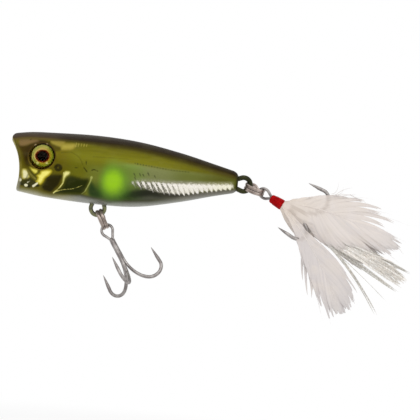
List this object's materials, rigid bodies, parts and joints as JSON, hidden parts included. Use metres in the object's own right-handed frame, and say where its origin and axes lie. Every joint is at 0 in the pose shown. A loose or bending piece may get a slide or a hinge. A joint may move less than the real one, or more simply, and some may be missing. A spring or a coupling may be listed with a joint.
{
  "type": "topwater popper",
  "caption": "Surface fishing lure with a cupped mouth, hollow rattling body, split rings and treble hooks, the tail hook dressed with feathers and tinsel.",
  "frame": {"origin": "centre of the line tie's eye, inside the mouth cup", "axes": "+X from the mouth to the tail, +Z to the back, -Y to the lure's left flank; the rings and hooks rest as pictured"},
  "size_m": [0.1172, 0.0267, 0.0448],
  "materials": {
    "shell": "clear-coated foil and airbrushed paint, olive gold above and pale grey below",
    "hanger_wire": "painted wire",
    "ballast": "plain metal",
    "ball": "polished",
    "eye_foil": "printed foil",
    "eye_lens": "clear resin dome",
    "ring_steel": "bright nickel",
    "hook_steel": "bright nickel",
    "thread": "varnished red thread",
    "feather": "soft white feather",
    "tinsel": "pearl tinsel"
  },
  "bodies": {
    "lure_body": {"left_shell": "shell", "right_shell": "shell", "line_tie": "hanger_wire", "belly_hanger": "hanger_wire", "tail_hanger": "hanger_wire", "ballast_weight": "ballast", "left_eye_disc": "eye_foil", "right_eye_disc": "eye_foil", "left_eye_lens": "eye_lens", "right_eye_lens": "eye_lens"},
    "front_ball": {"front_rattle_ball": "ball"},
    "rear_ball": {"rear_rattle_ball": "ball"},
    "belly_ring": {"belly_split_ring": "ring_steel"},
    "belly_hook": {"belly_treble_double": "hook_steel", "belly_treble_single": "hook_steel"},
    "tail_ring": {"tail_split_ring": "ring_steel"},
    "tail_hook": {"tail_treble_double": "hook_steel", "tail_treble_single": "hook_steel", "whipping_core": "thread", "whipping_thread": "thread", "lower_feather": "feather", "upper_feather": "feather", "middle_feather": "feather", "rear_feather": "feather", "tinsel_strand_1": "tinsel", "tinsel_strand_2": "tinsel", "tinsel_strand_3": "tinsel", "tinsel_strand_4": "tinsel", "tinsel_strand_5": "tinsel"}
  },
  "joints": [
    {"name": "belly_ring_swing", "type": "hinge", "parent": "lure_body", "child": "belly_ring", "pos_m": [0.02202, 0, -0.01235], "axis": [0.8813, 0, 0.4726], "range_deg": [-60, 60]},
    {"name": "belly_hook_swing", "type": "hinge", "parent": "belly_ring", "child": "belly_hook", "pos_m": [0.02396, -0.00092, -0.01597], "axis": [0.1039, 0.9755, -0.1938], "range_deg": [-40, 60]},
    {"name": "tail_ring_swing", "type": "hinge", "parent": "lure_body", "child": "tail_ring", "pos_m": [0.06356, 0, -0.00059], "axis": [0.3024, 0, 0.9532], "range_deg": [-60, 60]},
    {"name": "tail_hook_swing", "type": "hinge", "parent": "tail_ring", "child": "tail_hook", "pos_m": [0.06749, -0.00079, -0.00184], "axis": [0.1802, 0.982, -0.0572], "range_deg": [-60, 60]},
    {"name": "front_ball_roll", "type": "slide", "parent": "lure_body", "child": "front_ball", "axis": [0, 1, 0], "range_m": [-0.0024, 0.0024]},
    {"name": "rear_ball_roll", "type": "slide", "parent": "lure_body", "child": "rear_ball", "axis": [0, 1, 0], "range_m": [-0.0024, 0.0024]}
  ]
}
